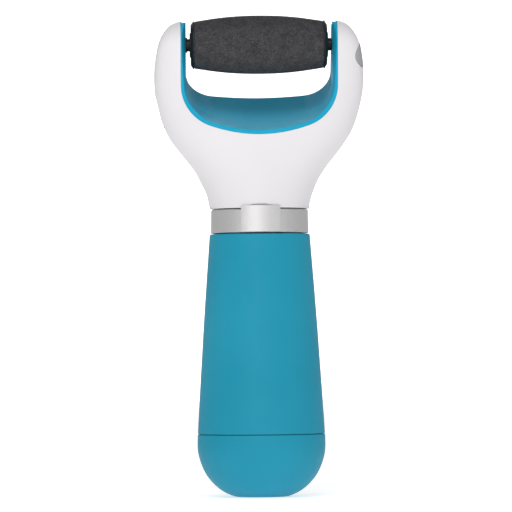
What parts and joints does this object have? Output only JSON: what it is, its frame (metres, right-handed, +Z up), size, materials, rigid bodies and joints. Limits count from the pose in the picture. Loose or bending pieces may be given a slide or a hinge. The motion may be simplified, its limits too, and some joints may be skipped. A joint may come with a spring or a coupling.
{
  "type": "electric callus remover",
  "caption": "Battery foot file with a spinning abrasive barrel roller between two fork arms, a twist-ring switch, a side release button and a tapered round handle.",
  "frame": {"origin": "centre of the flat under the battery cap, on the handle's axis", "axes": "+Z up the handle towards the roller, the front faces -Y, +X is the release button's side"},
  "size_m": [0.0718, 0.044, 0.1648],
  "materials": {
    "white_shell": "glossy",
    "teal_liner": "glossy",
    "teal_handle": "satin soft-touch",
    "satin_metal": "brushed",
    "abrasive": "gritty, matte",
    "black_plastic": "satin",
    "grey_plastic": "satin",
    "gear_plastic": "satin",
    "steel": "plain",
    "spring_steel": "polished",
    "brass": "satin",
    "copper": "satin",
    "magnet": "matt",
    "seal_rubber": "matt",
    "cell_jacket": "glossy",
    "nickel": "satin",
    "green_board": "satin",
    "red_wire": "satin",
    "black_wire": "satin"
  },
  "bodies": {
    "housing": {"front_shell": "white_shell", "rear_shell": "white_shell", "fork_liner": "teal_liner", "head_screws": "steel", "gear_plate": "gear_plastic", "gear_pins": "steel", "gear_plate_screws": "steel", "motor_can": "steel", "motor_end_bell": "gear_plastic", "motor_terminals": "copper", "motor_magnets": "magnet", "motor_cradle": "black_plastic", "motor_cradle_screws": "steel", "motor_lead_red": "red_wire", "motor_lead_black": "black_wire", "latch_spring": "spring_steel", "latch_pivot": "steel", "latch_foot": "black_plastic", "latch_ears": "black_plastic", "neck_core": "black_plastic", "switch_board": "green_board", "switch_pads": "copper", "handle_sleeve": "teal_handle", "contact_holder": "black_plastic", "top_contacts": "nickel", "top_springs": "nickel", "circuit_board": "green_board", "board_capacitor": "cell_jacket", "board_transistor": "black_plastic"},
    "roller_cartridge": {"roller_sleeve": "abrasive", "roller_core": "black_plastic", "roller_drive_cap": "black_plastic", "roller_idle_cap": "black_plastic"},
    "idle_bush": {"idle_bush": "black_plastic"},
    "drive_gear": {"drive_gear": "gear_plastic"},
    "upper_idler_gear": {"upper_idler_gear": "gear_plastic"},
    "lower_idler_gear": {"lower_idler_gear": "gear_plastic"},
    "compound_gear": {"compound_gear": "gear_plastic"},
    "motor_rotor": {"motor_shaft": "steel", "motor_pinion": "brass", "motor_armature": "magnet", "motor_windings": "copper", "motor_commutator": "copper"},
    "release_button": {"release_button": "grey_plastic"},
    "switch_ring": {"switch_ring": "satin_metal", "switch_arm": "black_plastic", "switch_wiper": "brass"},
    "battery_drawer": {"battery_cap": "teal_handle", "cap_seal": "seal_rubber", "battery_carrier": "black_plastic", "battery_cells": "cell_jacket", "cell_nubs": "nickel", "bottom_contacts": "nickel", "bottom_springs": "nickel"}
  },
  "joints": [
    {"name": "roller_lift", "type": "slide", "parent": "housing", "child": "idle_bush", "axis": [0, 0, 1], "range_m": [0, 0.025], "deforming": ["latch_spring"]},
    {"name": "roller_spin", "type": "hinge", "parent": "idle_bush", "child": "roller_cartridge", "pos_m": [0, -0.01, 0.1548], "axis": [1, 0, 0], "continuous": true},
    {"name": "drive_gear_spin", "type": "hinge", "parent": "housing", "child": "drive_gear", "pos_m": [-0.0283, -0.01, 0.1548], "axis": [1, 0, 0], "continuous": true},
    {"name": "upper_idler_spin", "type": "hinge", "parent": "housing", "child": "upper_idler_gear", "pos_m": [-0.0283, -0.00691, 0.14529], "axis": [1, 0, 0], "continuous": true},
    {"name": "lower_idler_spin", "type": "hinge", "parent": "housing", "child": "lower_idler_gear", "pos_m": [-0.0283, -0.00091, 0.1349], "axis": [1, 0, 0], "continuous": true},
    {"name": "compound_gear_spin", "type": "hinge", "parent": "housing", "child": "compound_gear", "pos_m": [-0.0283, 0.00463, 0.12781], "axis": [1, 0, 0], "continuous": true},
    {"name": "motor_spin", "type": "hinge", "parent": "housing", "child": "motor_rotor", "pos_m": [-0.01, 0.00217, 0.12104], "axis": [1, 0, 0], "continuous": true},
    {"name": "release_press", "type": "slide", "parent": "housing", "child": "release_button", "axis": [-1, 0, 0], "range_m": [0, 0.0014], "stiffness_N_per_m": 900, "deforming": ["latch_spring"]},
    {"name": "switch_twist", "type": "hinge", "parent": "housing", "child": "switch_ring", "pos_m": [0, 0, 0.0945], "axis": [0, 0, 1], "range_deg": [0, 30]},
    {"name": "battery_slide", "type": "slide", "parent": "housing", "child": "battery_drawer", "axis": [0, 0, -1], "range_m": [0, 0.055], "deforming": ["top_springs"]}
  ],
  "couplings": [
    {"joint": "drive_gear_spin", "follows": "roller_spin", "ratio": 1},
    {"joint": "upper_idler_spin", "follows": "roller_spin", "ratio": -0.66667},
    {"joint": "lower_idler_spin", "follows": "roller_spin", "ratio": 0.66667},
    {"joint": "compound_gear_spin", "follows": "roller_spin", "ratio": -1.3333},
    {"joint": "motor_spin", "follows": "roller_spin", "ratio": 3.4667}
  ]
}
